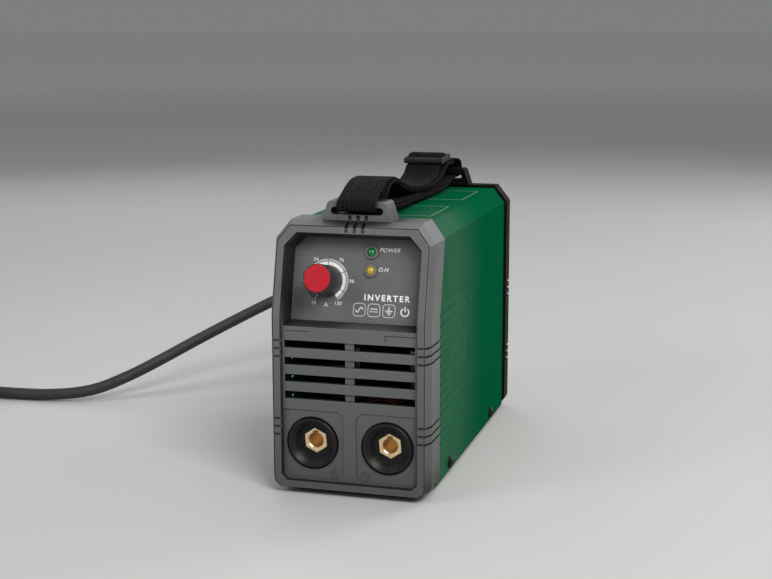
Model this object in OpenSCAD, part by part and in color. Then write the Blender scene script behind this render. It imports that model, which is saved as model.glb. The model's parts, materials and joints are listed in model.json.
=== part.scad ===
// Portable stick welding inverter: a green steel case between two dark mouldings,
// with a current knob, two welding-cable sockets, a carrying strap and a mains cord.
// Front faces -Y, up is +Z, and the feet stand on Z = 0.

/* [Case] */
// Width across the front and rear mouldings
body_w = 105.4; // [104:0.2:108]
// Height of the mouldings, without feet and strap tabs
body_h = 170.9; // [170:0.1:173]
// Depth from the front rim to the back of the rear moulding
body_d = 250.7; // [250:0.1:256]
// Height of the feet
foot_h = 4.5; // [4:0.1:6]
// Height of the bend in the front face
bend_h = 111.7; // [111:0.1:112.5]
// Backward lean of the front face above the bend, in degrees
lean = 13.8; // [13:0.1:14.5]
// Radius of the lower corners
corner_r = 6; // [4:0.5:7]
// Wall of the mouldings
wall = 2; // [1.8:0.1:2.2]

/* [Front] */
// Width of the rim around the front recesses
rim_w = 4.9; // [4.5:0.1:5.2]
// Depth of the bevel between the rim and the side band
bevel_d = 6.9; // [6.5:0.1:7.2]
// Depth of the louvred face behind the rim
face_d = 3; // [2.8:0.1:3.2]
// Depth of the control pocket, square to the leaning face
pocket_d = 12.5; // [12:0.1:13]
// Number of air slots
slots = 4; // [3:1:4]

/* [Controls] */
// Diameter of the red cap
cap_d = 17.5; // [16:0.1:18]
// Length of the knob from the panel to the face of the cap
knob_len = 22; // [20:0.5:23]
// Diameter of the lamp lenses
led_d = 6; // [5.8:0.1:6.2]

/* [Sockets] */
// Bore of the brass contact, for a 9 mm welding-cable plug
socket_bore = 9.2; // [9.1:0.05:9.3]
// Distance from the centre line to each socket
socket_x = 24.8; // [24.5:0.1:25.2]
// Height of the sockets above the bottom edge
socket_z = 29.3; // [29:0.1:30]

/* [Strap] */
// Width of the webbing
strap_w = 25.5; // [25:0.5:28]
// Thickness of one layer of webbing
web_t = 1.4; // [1.2:0.1:1.5]

/* [Cord] */
// Diameter of the mains cord
cord_d = 9; // [8:0.5:9]
// Radius of the coil, at the middle of its bundle
coil_r = 48; // [46:1:50]

/* [Hidden] */
$fn = 48;
fit = 0.05; // running clearance on a radius
half_w = body_w / 2;
run = tan(lean); // how far the leaning face goes back per millimetre of height

// Outline of the mouldings: bevelled top corners, as width by height
bevel_w = 9.3;
bevel_h = 12;
rim_inset = 2.7;
band_back = 27.6; // back edge of the front band, below the bend
rear_front = 238.3; // front edge of the rear moulding
cover_inset = 2.1;
cover_t = 1;
tuck = 5; // how far the cover reaches under each moulding
inner_back = 6.2; // back of the lower front wall
panel_t = 2.5; // wall of the control panel

// Control panel, as x and distance up the leaning face
dial = [-18.7, 24.4];
led_x = 9.6;
led_s = [31.9, 43.6];
knob_base_d = 19.8;
knob_out = knob_len - pocket_d;
knob_gap = 0.6;
shaft_d = 6;
bush_d = 7;
pointer_turn = 45; // pointer at rest, clockwise from straight down

// Decorative grooves
groove_w = 1.6;
groove_depth = 1.2;
groove_pitch = 5.2;
groove_top = [96, 45]; // heights of the top groove in each set
rim_x = half_w - rim_inset; // outer edge of the rim
inner_x = rim_x - rim_w; // inner edge of the rim
front_path = [
    [inner_x - 0.5, -1], [rim_x + 1, -1], [half_w + 1, bevel_d], [half_w + 1, band_back + 1],
    [half_w - groove_depth, band_back + 1], [half_w - groove_depth, bevel_d], [rim_x - 0.6, groove_depth],
    [inner_x - 0.5, groove_depth]
];
rear_path = [
    [half_w - groove_depth, rear_front - 1], [half_w + 1, rear_front - 1], [half_w + 1, body_d + 1],
    [half_w - 7, body_d + 1], [half_w - 7, body_d - groove_depth],
    [half_w - groove_depth, body_d - groove_depth]
];

// Louvres
slot_top = 95.9;
slot_h = 4.9;
slot_pitch = 11.05;
slot_half = 43;

// Sockets
flange_r = 16.3;
flange_gap = 1.15; // open ring between the flange and the moulding
field_d = 0.7; // depth of the field round a socket
flange_front = 2;
sign_x = 10.4;
sign_z = 10.2;
socket_r = 12.5;
hex_d = 9.8; // depth of the hexagonal face
hex_af = 14.2;
hex_turn = 4.6;

// Rear: fan, switch and cord entry
fan_z = 54;
fan_side = 80;
fan_t = 25;
fan_hole = 71.5;
fan_r = 38;
rear_plate = [244.7, 247.7];
switch_at = [24, 130];
gland_at = [-24, 130];
rocker_rest = -10;

// Strap tabs
tab_base = 23.3;
tab_top = 18;
tab_h = 12.2;
tab_slot = [34.4, 4.6, 3.8]; // width, height, distance above the base
front_tab = [21.6, 38];
rear_tab = [237, 249.6];

// Pressed ribs on the cover's sides
stripe_count = 15;
stripe_pitch = 6.45;
stripe_low = 21.6;
stripe_r = 4.2; // radius of a rib's rounded section
stripe_out = 0.9; // how far a rib stands out of the cover

// Base plate, feet and board
plate_low = wall + 0.05;
plate_t = 1.2;
plate_top = plate_low + plate_t;
foot_x = 33;
foot_y = [19, 226];
stem_r = 2.1;
board = [90, 176, 1.6];
board_y = 46;
board_z = 9.2;
board_top = board_z + board[2];
sink_top = 74;

// Rocker switch: its pivot lies behind the outside of the plate
pivot_depth = 3.5;

// Buckle on the strap
buckle_at = [199, 194.2];
buckle_turn = 4;

// The body is centred front to back between the knob cap and the strap
front_most = (dial[1] - cap_d / 2) * sin(lean) - knob_out * cos(lean);
rear_most = body_d + 6;
front_y = -(front_most + rear_most) / 2;

// Route of the loose stretch of the mains cord, from the end of the strain relief to the coil
cord_route = [
    [-24, 172, 134.5], [-24, 184, 134.5], [-28, 197, 132], [-38, 209, 128], [-54, 216, 121], [-73, 215, 112],
    [-96, 207, 100], [-120, 194, 86], [-143, 177, 73], [-165, 156, 62], [-186, 133, 51], [-206, 108, 40],
    [-225, 84, 29], [-246, 63, 18], [-270, 48, 9], [-300, 39, 5.5], [-335, 35.5, 5], [-370, 35, 5.5],
    [-400, 35, 5.5]
];
// Route of the last stretch, from the coil to the plug
tail_route = [
    [-452.5, -22, 14.5], [-453, -38, 14.6], [-455, -54, 13.4], [-457.5, -70, 15], [-459, -83, 18.8],
    [-459.5, -92, 20]
];
coil_at = [-400, -22];
coil_bundle = [27, 18]; // width and height of the bundle of turns
tie_t = 1;
relief_end = 172;
plug_at = [-459.5, -92, 20];
pin_x = 9.5; // half the spacing of the plug's pins
pin_r = 2.4;
pin_root_r = 2; // the part of a pin that the plug is moulded round

// ---------- shared shapes ----------

// Into the frame of the case: x across, y back from the front rim, z up from the bottom edge
module at_body() translate([0, front_y, foot_h]) children();

// Into the frame of the leaning face: x across, y square into the face, z up along it
module at_lean() at_body() translate([0, 0, bend_h]) rotate([-lean, 0, 0]) children();

// A flat outline in x and z, made solid from y0 to y1
module slab(y0, y1) translate([0, y1, 0]) rotate([90, 0, 0]) linear_extrude(y1 - y0) children();

// A flat outline in y and z, made solid across the width w
module across(w) translate([-w / 2, 0, 0]) rotate([90, 0, 90]) linear_extrude(w) children();

// A cylinder along y
module rod(r, y0, y1) translate([0, y1, 0]) rotate([90, 0, 0]) cylinder(r = r, h = y1 - y0);

// A cone along y
module cone(r0, r1, y0, y1) translate([0, y0, 0]) rotate([-90, 0, 0]) cylinder(r1 = r0, r2 = r1, h = y1 - y0);

module both_sides() {
    children();
    mirror([1, 0, 0]) children();
}

// Outline of the case, inset by t all round except at the bottom
module outline(t = 0, bottom = 0, r = corner_r) {
    w = half_w - t;
    top = body_h - t;
    long = sqrt(bevel_w * bevel_w + bevel_h * bevel_h);
    bw = bevel_w - t + t * (1 - bevel_w / long) / (bevel_h / long);
    bh = bevel_h - t + t * (1 - bevel_h / long) / (bevel_w / long);
    polygon([
        [-w, bottom + r], [w, bottom + r], [w, top - bh], [w - bw, top], [-w + bw, top], [-w, top - bh]
    ]);
    translate([-w + r, bottom]) square([2 * (w - r), r + 0.01]);
    for (side = [-1, 1])
        translate([side * (w - r), bottom + r]) circle(r);
}

// Side view of a layer that follows the bent front face, from depth y0 to y1
module bent(y0, y1, z0 = -5, z1 = 200)
    polygon([
        [y0, z0], [y0, bend_h], [y0 + (z1 - bend_h) * run, z1],
        [y1 + (z1 - bend_h) * run, z1], [y1, bend_h], [y1, z0]
    ]);

// Trapezoid with a slot for the webbing
module strap_tab(y0, y1) {
    r = tab_slot[1] / 2;
    slab(y0, y1) difference() {
        polygon([
            [-tab_base, body_h - 0.5], [tab_base, body_h - 0.5],
            [tab_top + 1.5, body_h + tab_h - 1.2], [tab_top, body_h + tab_h],
            [-tab_top, body_h + tab_h], [-tab_top - 1.5, body_h + tab_h - 1.2]
        ]);
        translate([0, body_h + tab_slot[2] + r]) {
            square([tab_slot[0] - 2 * r, 2 * r], center = true);
            for (side = [-1, 1])
                translate([side * (tab_slot[0] / 2 - r), 0]) circle(r);
        }
    }
}

// Three level grooves that wrap both side edges, along a path given in x and y
module side_grooves(z, path) {
    both_sides()
        for (i = [0:2])
            translate([0, 0, z - groove_pitch * i - groove_w / 2]) linear_extrude(groove_w) polygon(path);
}

// ---------- mouldings ----------

// Outside of the front moulding, from its rim back to the band's rear edge
module front_block() {
    skin = 0.02;
    hull() {
        intersection() {
            slab(0, skin) outline(rim_inset);
            across(body_w) square([skin, bend_h]);
        }
        intersection() {
            slab(bevel_d - skin, bevel_d) outline();
            across(body_w) translate([bevel_d - skin, 0]) square([skin, bend_h]);
        }
    }
    hull() {
        intersection() {
            slab(-1, 60) outline(rim_inset);
            across(body_w) bent(0, skin, bend_h);
        }
        intersection() {
            slab(-1, 60) outline();
            across(body_w) bent(bevel_d - skin, bevel_d, bend_h);
        }
    }
    intersection() {
        slab(0, 60) outline();
        across(body_w) bent(bevel_d - skin, band_back);
    }
}

// Outline of the control pocket on the leaning face
module pocket_outline(w, bottom, top, cut_x, cut_z)
    polygon([
        [-w, bottom], [w, bottom], [w, top - cut_z], [w - cut_x, top], [-w + cut_x, top], [-w, top - cut_z]
    ]);

module pocket_cut() {
    hull() {
        slab(-1, -0.98) pocket_outline(inner_x + 0.2, -9.1, 53.6, 8, 8.7);
        slab(pocket_d - 0.02, pocket_d) pocket_outline(41.4, -1.1, 52.2, 7, 7.5);
    }
}

// Outline of the front recess, with its lower corners cut off
module face_outline(w, bottom, cut) {
    top = bend_h - 3;
    polygon([
        [-w, bottom + cut], [-w + cut, bottom], [w - cut, bottom], [w, bottom + cut], [w, top], [-w, top]
    ]);
}

module face_cut() {
    hull() {
        slab(-1, -0.98) face_outline(inner_x + 0.3, 4, 3.7);
        slab(face_d - 0.02, face_d) face_outline(inner_x - 1, 5, 3.4);
    }
}

// Shallow field round a socket
module socket_field() {
    x0 = 4.1;
    x1 = inner_x - 1.2;
    z0 = 5.4;
    z1 = 51;
    c = 3.3;
    slab(0, face_d + field_d) polygon([
        [x0, z0 + c], [x0 + c, z0], [x1 - 4, z0], [x1, z0 + 4], [x1, z1], [x0 + c, z1], [x0, z1 - c]
    ]);
}

// Ring with a plus or a minus, raised on the socket field
module polarity_sign(side) translate([side * sign_x, 0, sign_z]) {
    low = face_d + field_d - 0.4;
    difference() {
        rod(3.2, low, low + 0.6);
        rod(2.5, low - 1, low + 2);
    }
    translate([-1.7, low, -0.35]) cube([3.4, 0.6, 0.7]);
    if (side < 0)
        translate([-0.35, low, -1.7]) cube([0.7, 0.6, 3.4]);
}

module louvre_cut(i) translate([-slot_half, -1, slot_top - slot_h - i * slot_pitch])
    cube([2 * slot_half, inner_back + 2, slot_h]);

// Line along the outer edge of the rim, between two heights
module rim_line(z0, z1) intersection() {
    difference() {
        outline(rim_inset + 0.1);
        outline(rim_inset + 0.7);
    }
    translate([-half_w, z0]) square([body_w, z1 - z0]);
}

// Space behind the front walls
module front_hollow() {
    deep = pocket_d + panel_t;
    back = 90;
    lean_top = [deep * cos(lean) + 60 * sin(lean), bend_h - deep * sin(lean) + 60 * cos(lean)];
    lean_low = [deep * cos(lean) - 4.4 * sin(lean), bend_h - deep * sin(lean) - 4.4 * cos(lean)];
    intersection() {
        slab(0, back) outline(wall, wall, corner_r - wall);
        across(body_w) polygon([
            [inner_back, 0], [inner_back, 99], lean_low, lean_top, [lean_top[0] + 4, body_h], [back, body_h],
            [back, 0]
        ]);
    }
}

module front_panel() color([0.30, 0.31, 0.32]) {
    at_body() {
        difference() {
            union() {
                difference() {
                    front_block();
                    front_hollow();
                    face_cut();
                    for (i = [0:slots - 1]) louvre_cut(i);
                    both_sides() socket_field();
                    translate([0, 0, bend_h]) rotate([-lean, 0, 0]) pocket_cut();
                }
                // Rib behind the slats
                translate([-3, face_d + 1.4, 56]) cube([6, 4.6, 42]);
                // Bosses behind the socket holes
                for (side = [-1, 1])
                    translate([side * socket_x, 0, socket_z]) rod(19.5, inner_back - 1, 10.5);
                strap_tab(front_tab[0], front_tab[1]);
                for (side = [-1, 1]) polarity_sign(side);
            }
            for (side = [-1, 1])
                translate([side * socket_x, 0, socket_z]) {
                    rod(flange_r + flange_gap, 0, 6);
                    rod(socket_r + 0.1, 0, 20);
                }
            translate([0, 0, bend_h]) rotate([-lean, 0, 0]) {
                translate([dial[0], 0, dial[1]]) rod(bush_d / 2 + 0.1, 5, 20);
                for (s = led_s)
                    translate([led_x, 0, s]) rod(led_d / 2 + 0.6, 5, 20);
                // Three short grooves across the top of the rim, up to the foot of the strap tab
                for (x = [-4.6, 0.8, 6.2])
                    translate([x, 0, 0]) across(2.2) polygon([
                        [-2, 54.2], [-2, 60], [5.4, 66], [8.2, 65.2], [8.2, 61.6], [1.6, 57.3], [1.6, 54.2]
                    ]);
            }
            foot_places() translate([0, 0, -1]) cylinder(r = stem_r + 0.1, h = 5);
            for (z = groove_top) side_grooves(z, front_path);
            // Thin groove between the rim and the bevel
            slab(-1, 0.6) rim_line(0, bend_h);
            intersection() {
                slab(-1, 60) rim_line(bend_h, body_h);
                across(body_w) bent(-1, 0.6, bend_h);
            }
            // Engraved line and bracket on the bar above the slots
            translate([-41.6, face_d - 0.1, 101.6]) cube([15.7, 0.6, 0.7]);
            translate([23.1, face_d - 0.1, 101.6]) cube([20.2, 0.6, 0.7]);
            translate([23.1, face_d - 0.1, 98.6]) cube([1.3, 0.6, 3.5]);
        }
    }
}

// One ring of the fan guard
module guard_ring(r) {
    difference() {
        rod(r + 1, rear_plate[0], rear_plate[1]);
        rod(r - 1, rear_plate[0] - 1, rear_plate[1] + 1);
    }
}

module rear_panel() color([0.09, 0.09, 0.10]) at_body() {
    difference() {
        union() {
            difference() {
                slab(rear_front, body_d) outline();
                slab(rear_front - 1, rear_plate[0]) outline(wall, wall, corner_r - wall);
                slab(rear_plate[1], body_d + 1) outline(5, 5, corner_r - 3);
                translate([0, 0, fan_z]) rod(fan_r, rear_plate[0] - 1, rear_plate[1] + 1);
            }
            translate([0, 0, fan_z]) {
                for (r = [12, 21, 30]) guard_ring(r);
                rod(4, rear_plate[0], rear_plate[1]);
                for (a = [45, 135])
                    rotate([0, a, 0])
                        translate([-fan_r - 1, rear_plate[0], -1]) cube([2 * fan_r + 2, 3, 2]);
            }
            strap_tab(rear_tab[0], rear_tab[1]);
        }
        for (x = [-1, 1], z = [-1, 1])
            translate([x * fan_hole / 2, 0, fan_z + z * fan_hole / 2]) rod(2.2, rear_plate[0] - 1, 252);
        for (x = [-1, 1], z = [8, body_h - 24])
            translate([x * 44, 0, z]) rod(1.7, rear_plate[0] - 1, 252);
        translate([switch_at[0] - 11, rear_plate[0] - 1, switch_at[1] - 15]) cube([22, 5, 30]);
        translate([gland_at[0], 0, gland_at[1]]) rod(8.1, rear_plate[0] - 1, 252);
        for (z = groove_top) side_grooves(z, rear_path);
    }
}

// ---------- steel parts ----------

// Front end of the rib at height z, just clear of the front band
function stripe_front(z) = band_back + 0.6 + max(0, z + 3 - bend_h) * run;

// One pressed rib on the cover's side: a rounded ridge with a pointed rear end
module stripe(i) {
    z = stripe_low + i * stripe_pitch;
    skin_x = half_w - cover_inset;
    intersection() {
        translate([skin_x + stripe_out - stripe_r, 0, z]) {
            rod(stripe_r, stripe_front(z), 101);
            cone(stripe_r, stripe_r - stripe_out, 101, 109);
        }
        translate([skin_x - 0.4, 20, z - 5]) cube([5, 100, 10]);
    }
}

// Small hole between the front ends of two ribs
module stripe_hole(i) {
    z = stripe_low + (i + 0.5) * stripe_pitch;
    translate([half_w - cover_inset - 3, stripe_front(z) + 6.4, z - 0.8]) cube([5, 5, 1.6]);
}

module housing_cover() color([0.02, 0.32, 0.20]) at_body() {
    difference() {
        union() {
            intersection() {
                slab(0, rear_front + tuck) difference() {
                    outline(cover_inset, -1, 0.2);
                    outline(cover_inset + cover_t, -3, 0.2);
                }
                across(body_w) bent(band_back - tuck, 200 + rear_front);
            }
            for (i = [0:stripe_count - 1]) both_sides() stripe(i);
        }
        for (i = [0:stripe_count - 2]) both_sides() stripe_hole(i);
        // Notches that clear the mouldings' rounded lower corners
        translate([-60, 0, -2]) cube([120, band_back + 0.4, corner_r + 2.2]);
        translate([-60, rear_front - 0.4, -2]) cube([120, 20, corner_r + 2.2]);
        both_sides() cover_screw_places() cylinder(r = 2.2, h = 10, center = true);
    }
}

// Places of the cover's screws on one side, with z pointing out of the case
module cover_screw_places()
    for (y = [64, 193])
        translate([half_w - cover_inset, y, 4.6]) rotate([0, 90, 0]) children();

module base_plate() color([0.72, 0.73, 0.75]) at_body() {
    flange_h = 10;
    w = half_w - cover_inset - cover_t - 0.1;
    inside_w = half_w - corner_r - 0.7;
    difference() {
        union() {
            translate([-w, band_back + 0.6, plate_low]) cube([2 * w, 210, plate_t]);
            both_sides() translate([w - plate_t, 30, plate_low]) cube([plate_t, 206, flange_h]);
            // Tongue and lip inside the front moulding
            translate([-inside_w, 12, plate_low]) cube([2 * inside_w, 20, plate_t]);
            translate([-inside_w, 12, plate_low]) cube([2 * inside_w, plate_t, 6]);
        }
        both_sides() cover_screw_places() cylinder(r = 1.9, h = 20, center = true);
        foot_places() cylinder(r = stem_r + 0.1, h = 20, center = true);
    }
}

module cover_screws() color([0.06, 0.06, 0.06]) at_body() both_sides() cover_screw_places() {
    difference() {
        intersection() {
            translate([0, 0, -3.2]) sphere(r = 6);
            cylinder(r = 4.15, h = 4);
        }
        // Cross recess
        translate([0, 0, 2.8]) cube([4.6, 0.9, 2.4], center = true);
        translate([0, 0, 2.8]) cube([0.9, 4.6, 2.4], center = true);
    }
    translate([0, 0, -7]) cylinder(r = 1.8, h = 7.1);
}

module foot_places()
    for (x = [-foot_x, foot_x], y = foot_y)
        translate([x, y, 0]) children();

module feet() color([0.05, 0.05, 0.05]) at_body() {
    foot_places() {
        translate([0, 0, -foot_h]) cylinder(r1 = 6.4, r2 = 7.2, h = foot_h);
        translate([0, 0, -0.1]) cylinder(r = stem_r, h = plate_top + 1.2);
        translate([0, 0, plate_top]) cylinder(r = 3.4, h = 1.4);
    }
    // Collars that carry the rear feet up to the base plate
    for (x = [-foot_x, foot_x])
        translate([x, foot_y[1], -0.1]) cylinder(r = 6, h = plate_low + 0.1);
}

module rear_screws() color([0.10, 0.10, 0.11]) at_body()
    for (x = [-1, 1], z = [8, body_h - 24])
        translate([x * 44, 0, z]) {
            rod(1.6, rear_plate[0] - 9, rear_plate[1] + 0.1);
            difference() {
                rod(3, rear_plate[1], rear_plate[1] + 2);
                translate([0, rear_plate[1] + 1.6, 0]) cube([4, 1.2, 0.8], center = true);
                translate([0, rear_plate[1] + 1.6, 0]) cube([0.8, 1.2, 4], center = true);
            }
        }

// ---------- controls ----------

module at_dial() at_lean() translate([dial[0], 0, dial[1]]) children();

module current_knob() color([0.12, 0.12, 0.12]) at_dial() {
    base = pocket_d - knob_gap;
    difference() {
        union() {
            cone(cap_d / 2 + 0.4, knob_base_d / 2, -knob_out + 0.6, base - 1.6);
            rod(knob_base_d / 2, base - 1.6, base);
            // Pointer at the foot of the knob
            rotate([0, pointer_turn, 0]) translate([-2.3, base - 3.3, -knob_base_d / 2 - 3.8])
                cube([4.6, 3, 5.4]);
        }
        rod(7.2, base - 3.6, base + 1);
        rod(shaft_d / 2, -knob_out + 5, base + 1);
        rod(cap_d / 2 - 0.1, -knob_out - 1, -knob_out + 1.8);
    }
}

module knob_cap() color([0.70, 0.10, 0.14]) at_dial() {
    rod(cap_d / 2 - 0.1, -knob_out + 0.5, -knob_out + 1.8);
    cone(cap_d / 2 - 0.6, cap_d / 2 - 0.1, -knob_out, -knob_out + 0.5);
}

module pot_shaft() color([0.75, 0.75, 0.76]) at_dial() {
    rod(shaft_d / 2, -knob_out + 5, pocket_d + panel_t + 4);
    rod(5.5, pocket_d + panel_t + 4, pocket_d + panel_t + 5);
}

module pot_body() color([0.20, 0.35, 0.55]) at_dial() {
    back = pocket_d + panel_t;
    difference() {
        union() {
            rod(bush_d / 2, pocket_d - 3, back + 1);
            rod(8.2, back, back + 8);
        }
        rod(shaft_d / 2 + fit, pocket_d - 4, back + 5);
        rod(6, back + 3.5, back + 5.6);
    }
}

module pot_nut() color([0.8, 0.8, 0.8]) at_dial() difference() {
    translate([0, pocket_d, 0]) rotate([90, 0, 0]) cylinder(r = 6, h = 2, $fn = 6);
    rod(bush_d / 2, pocket_d - 4, pocket_d + 1);
}

module control_board() color([0.05, 0.35, 0.18]) at_lean() {
    back = pocket_d + panel_t + 8;
    translate([-38, back, 2]) cube([76, 1.6, 46]);
    // Small parts on the board
    for (i = [0:3])
        translate([-30 + 16 * i, back + 1.6, 14]) cube([8, 3, 12]);
    translate([20, back + 1.6, 34]) cube([14, 8, 8]);
}

module lamp(s, tint) color(tint) at_lean() translate([led_x, 0, s]) {
    intersection() {
        translate([0, pocket_d - 0.2, 0]) sphere(r = led_d / 2);
        rod(led_d / 2, pocket_d - 5, pocket_d);
    }
    rod(led_d / 2, pocket_d - 0.2, pocket_d + panel_t + 5);
}

module power_led() lamp(led_s[1], [0.05, 0.45, 0.15]);

module overheat_led() lamp(led_s[0], [0.85, 0.60, 0.05]);

module led_bezels() color([0.15, 0.15, 0.16]) at_lean() for (s = led_s)
    translate([led_x, 0, s]) difference() {
        union() {
            cone(led_d / 2 + 0.9, led_d / 2 + 1.4, pocket_d - 1.4, pocket_d - 0.6);
            rod(led_d / 2 + 1.4, pocket_d - 0.6, pocket_d);
            rod(led_d / 2 + 0.55, pocket_d, pocket_d + panel_t + 1);
        }
        rod(led_d / 2, pocket_d - 3, pocket_d + panel_t + 2);
    }

// ---------- sockets ----------

module socket_body(side) color([0.10, 0.10, 0.10]) at_body() translate([side * socket_x, 0, socket_z])
    difference() {
        union() {
            cone(flange_r - 0.7, flange_r, flange_front, flange_front + 0.8);
            rod(flange_r, flange_front + 0.8, 6);
            rod(socket_r, 6, 30);
        }
        // Cup in front of the contact
        cone(15, 12.2, flange_front - 0.1, 4.6);
        cone(12.2, 11, 4.5, hex_d);
        translate([0, 40, 0]) rotate([90, 0, 0]) rotate([0, 0, 90 + hex_turn])
            cylinder(r = hex_af / sqrt(3), h = 40, $fn = 6);
    }

module socket_insert(side) color([0.80, 0.60, 0.22]) at_body() translate([side * socket_x, 0, socket_z])
    difference() {
        union() {
            translate([0, 31, 0]) rotate([90, 0, 0]) rotate([0, 0, 90 + hex_turn])
                cylinder(r = hex_af / sqrt(3), h = 31 - hex_d, $fn = 6);
            rod(4, 31, 43);
        }
        rod(socket_bore / 2, hex_d - 1, hex_d + 20);
        cone(5.4, socket_bore / 2, hex_d - 0.01, hex_d + 0.8);
        // Keyway for the plug's lug
        translate([-1.8, hex_d - 1, 0]) cube([3.6, 16, 6.6]);
    }

module left_socket_body() socket_body(-1);

module right_socket_body() socket_body(1);

module left_socket_insert() socket_insert(-1);

module right_socket_insert() socket_insert(1);

module socket_nuts() color([0.12, 0.12, 0.12]) at_body() for (side = [-1, 1])
    translate([side * socket_x, 0, socket_z]) difference() {
        translate([0, 16.5, 0]) rotate([90, 0, 0]) cylinder(r = 18, h = 6, $fn = 6);
        rod(socket_r, 8, 20);
    }

module busbars() color([0.75, 0.42, 0.25]) at_body() for (side = [-1, 1]) difference() {
    translate([side * socket_x, 0, 0]) {
        translate([-7, 34, 11]) cube([14, 2, socket_z - 3]);
        translate([-7, 34, 11]) cube([14, 26, 2]);
    }
    translate([side * socket_x, 0, socket_z]) rod(4, 30, 40);
}

// ---------- power electronics ----------

module board_holes()
    for (x = [-41, 41], y = [board_y + 5, board_y + board[1] / 2, board_y + board[1] - 9])
        translate([x, y, 0]) children();

module main_board() color([0.06, 0.30, 0.12]) at_body() difference() {
    translate([-board[0] / 2, board_y, board_z]) cube(board);
    board_holes() cylinder(r = 1.6, h = 30);
}

module board_standoffs() color([0.78, 0.70, 0.45]) at_body() board_holes() difference() {
    translate([0, 0, plate_top]) cylinder(r = 3, h = board_z - plate_top, $fn = 6);
    translate([0, 0, 4.6]) cylinder(r = 1.5, h = 10);
}

module board_screws() color([0.7, 0.7, 0.72]) at_body() board_holes() {
    translate([0, 0, board_top]) cylinder(r = 2.8, h = 1.8);
    translate([0, 0, 5]) cylinder(r = 1.45, h = board_top - 4.9);
}

// Finned heat sink beside the board's centre line
module heat_sink(side) at_body() mirror([side > 0 ? 1 : 0, 0, 0]) {
    z0 = board_top + 0.4;
    slab(84, 184) {
        translate([-22, z0]) square([4, sink_top - z0]);
        for (i = [0:7])
            translate([-38, z0 + 4 + i * 7.4]) square([16.01, 1.8]);
    }
}

module heat_sinks() color([0.80, 0.81, 0.82]) {
    heat_sink(-1);
    heat_sink(1);
}

module power_transistors() color([0.08, 0.08, 0.09]) at_body() both_sides()
    for (i = [0:3])
        translate([-18, 90 + i * 22, 26]) {
            cube([5, 16, 21]);
            for (k = [0:2])
                translate([2, 2.4 + k * 5, -15.1]) cube([0.7, 1.2, 15.2]);
        }

module bridge_rectifier() color([0.10, 0.10, 0.11]) at_body() {
    translate([-18, 179, 50]) cube([6, 5, 20]);
    translate([-14, 184, 48]) cube([28, 8, 28]);
    for (i = [0:3])
        translate([-11 + i * 7, 187.4, board_top]) cube([1, 1, 37.3]);
}

module bus_capacitors() color([0.10, 0.12, 0.30]) at_body() for (x = [-28, 0, 28])
    translate([x, 202, board_top]) cylinder(r = 12.4, h = 36);

module transformer_core() color([0.16, 0.16, 0.17]) at_body() translate([0, 132, board_top])
    difference() {
        translate([-12.4, -22, 0]) cube([24.8, 44, 42]);
        translate([-20, -15, 8]) cube([40, 8, 26]);
        translate([-20, 7, 8]) cube([40, 8, 26]);
    }

module transformer_windings() color([0.72, 0.38, 0.16]) at_body() translate([0, 132, board_top + 21])
    for (y = [-14.9, 7.1])
        translate([-11.6, y, -12.9]) cube([23.2, 7.8, 25.8]);

module output_choke() color([0.70, 0.36, 0.14]) at_body() translate([0, 84, board_top + 18])
    rotate([90, 0, 0]) rotate_extrude() translate([11.5, 0]) circle(6);

// ---------- fan and switch ----------

module at_fan() at_body() translate([0, rear_plate[0] - fan_t, fan_z]) children();

module fan_frame() color([0.10, 0.10, 0.10]) at_fan() {
    difference() {
        translate([-fan_side / 2, 0, -fan_side / 2]) cube([fan_side, fan_t, fan_side]);
        rod(fan_r + 0.5, -1, fan_t + 1);
        for (x = [-1, 1], z = [-1, 1])
            translate([x * fan_hole / 2, 0, z * fan_hole / 2]) rod(2.2, -1, fan_t + 1);
    }
    // Motor mount on three arms, with its bearing bore
    difference() {
        union() {
            rod(14, 0.4, 3.4);
            for (a = [90, 210, 330])
                rotate([0, a, 0]) translate([0, 0.8, -1.5]) cube([fan_r + 1, 2.4, 3]);
        }
        rod(1.5 + fit, -1, 4);
    }
}

module fan_rotor() color([0.14, 0.14, 0.15]) at_fan() {
    rod(18, 4.2, 22);
    rod(1.5, 0.8, 5);
    for (i = [0:6])
        rotate([0, i * 360 / 7, 0]) translate([27, 13, 0]) rotate([38, 0, 0])
            cube([19.2, 1.6, 21], center = true);
}

module fan_screws() color([0.65, 0.65, 0.67]) at_body()
    for (x = [-1, 1], z = [-1, 1])
        translate([x * fan_hole / 2, 0, fan_z + z * fan_hole / 2]) {
            rod(2, rear_plate[0] - fan_t - 2, rear_plate[1] + 0.1);
            rod(3.4, rear_plate[1], rear_plate[1] + 1.9);
            rod(3.4, rear_plate[0] - fan_t - 2.4, rear_plate[0] - fan_t);
        }

module at_switch() at_body() translate([switch_at[0], rear_plate[1] - pivot_depth, switch_at[1]]) children();

module switch_housing() color([0.08, 0.08, 0.08]) at_switch() difference() {
    union() {
        translate([-12.6, pivot_depth, -16.6]) cube([25.2, 1.6, 33.2]);
        translate([-10.9, -22, -14.9]) cube([21.8, 22.1 + pivot_depth, 29.8]);
        for (x = [-6, 5], z = [-9, 0, 9])
            translate([x, -30, z - 2.4]) cube([0.8, 8.1, 4.8]);
    }
    translate([-8.9, -9, -13.6]) cube([17.8, 20, 27.2]);
    translate([-12, 0, 0]) rotate([0, 90, 0]) translate([0, 0, 1.6]) cylinder(r = 2 + fit, h = 20.8);
}

module switch_rocker() color([0.75, 0.08, 0.06]) at_switch() rotate([rocker_rest, 0, 0]) {
    intersection() {
        across(17) polygon([[-5, -7], [-1, -12.6], [5.4, -12.6], [3, 0], [5.4, 12.6], [-1, 12.6], [-5, 7]]);
        translate([-9, 0, 0]) rotate([0, 90, 0]) cylinder(r = 13.1, h = 18);
    }
    translate([-10, 0, 0]) rotate([0, 90, 0]) cylinder(r = 2, h = 20);
}

// ---------- strap ----------

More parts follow.
